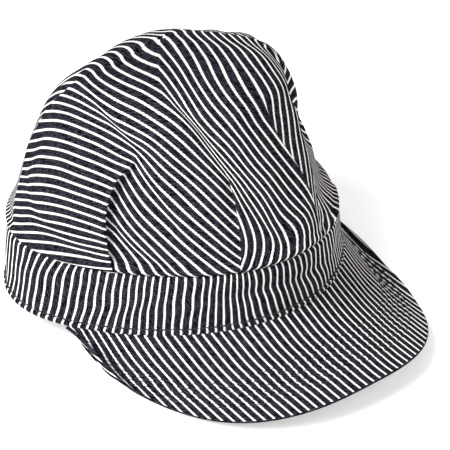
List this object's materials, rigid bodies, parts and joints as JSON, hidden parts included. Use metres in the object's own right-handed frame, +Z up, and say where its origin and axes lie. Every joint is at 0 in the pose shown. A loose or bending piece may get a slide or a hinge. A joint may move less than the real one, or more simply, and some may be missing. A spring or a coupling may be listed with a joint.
{
  "type": "railroad engineer cap",
  "caption": "Soft hickory-stripe denim cap with a pleated crown, a tall headband and a stiff curved visor, lying as it rests on a table.",
  "frame": {"origin": "on the table that the cap rests on, under the middle of the cap's outline", "axes": "+Z up, the visor towards -Y, the wearer's right hand towards -X"},
  "size_m": [0.161, 0.2194, 0.1149],
  "materials": {
    "crown_denim": "matte twill, narrow off-white stripes on near-black navy",
    "band_denim": "matte twill, narrow off-white stripes on near-black navy",
    "visor_denim": "matte twill, narrow off-white stripes on near-black navy, with dark rows of stitching"
  },
  "bodies": {
    "root": {"crown": "crown_denim", "headband": "band_denim", "visor": "visor_denim"}
  },
  "joints": []
}
